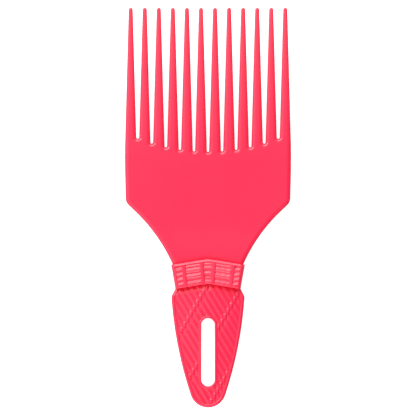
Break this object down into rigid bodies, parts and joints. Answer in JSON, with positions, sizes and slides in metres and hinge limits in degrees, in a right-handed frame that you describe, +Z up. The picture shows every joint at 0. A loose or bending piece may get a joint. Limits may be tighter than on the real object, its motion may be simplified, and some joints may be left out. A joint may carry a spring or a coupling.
{
  "type": "volumizing comb",
  "caption": "Flat one-piece comb with long tapered round-tipped teeth, a shouldered plate, a bound collar and a ribbed tapering grip with a hanging slot.",
  "frame": {"origin": "on the surface that the comb lies on, under the middle of its bounding box", "axes": "+X across the comb, +Y along its length from the grip's heel to the teeth, +Z up out of its front face"},
  "size_m": [0.075, 0.18, 0.0096],
  "materials": {
    "coral_plastic": "satin gloss"
  },
  "bodies": {
    "root": {"head_plate": "coral_plastic", "tooth_01": "coral_plastic", "tooth_02": "coral_plastic", "tooth_03": "coral_plastic", "tooth_04": "coral_plastic", "tooth_05": "coral_plastic", "tooth_06": "coral_plastic", "tooth_07": "coral_plastic", "tooth_08": "coral_plastic", "tooth_09": "coral_plastic", "tooth_10": "coral_plastic", "tooth_11": "coral_plastic", "tooth_12": "coral_plastic", "collar": "coral_plastic", "handle": "coral_plastic", "grip_front": "coral_plastic", "grip_back": "coral_plastic"}
  },
  "joints": []
}
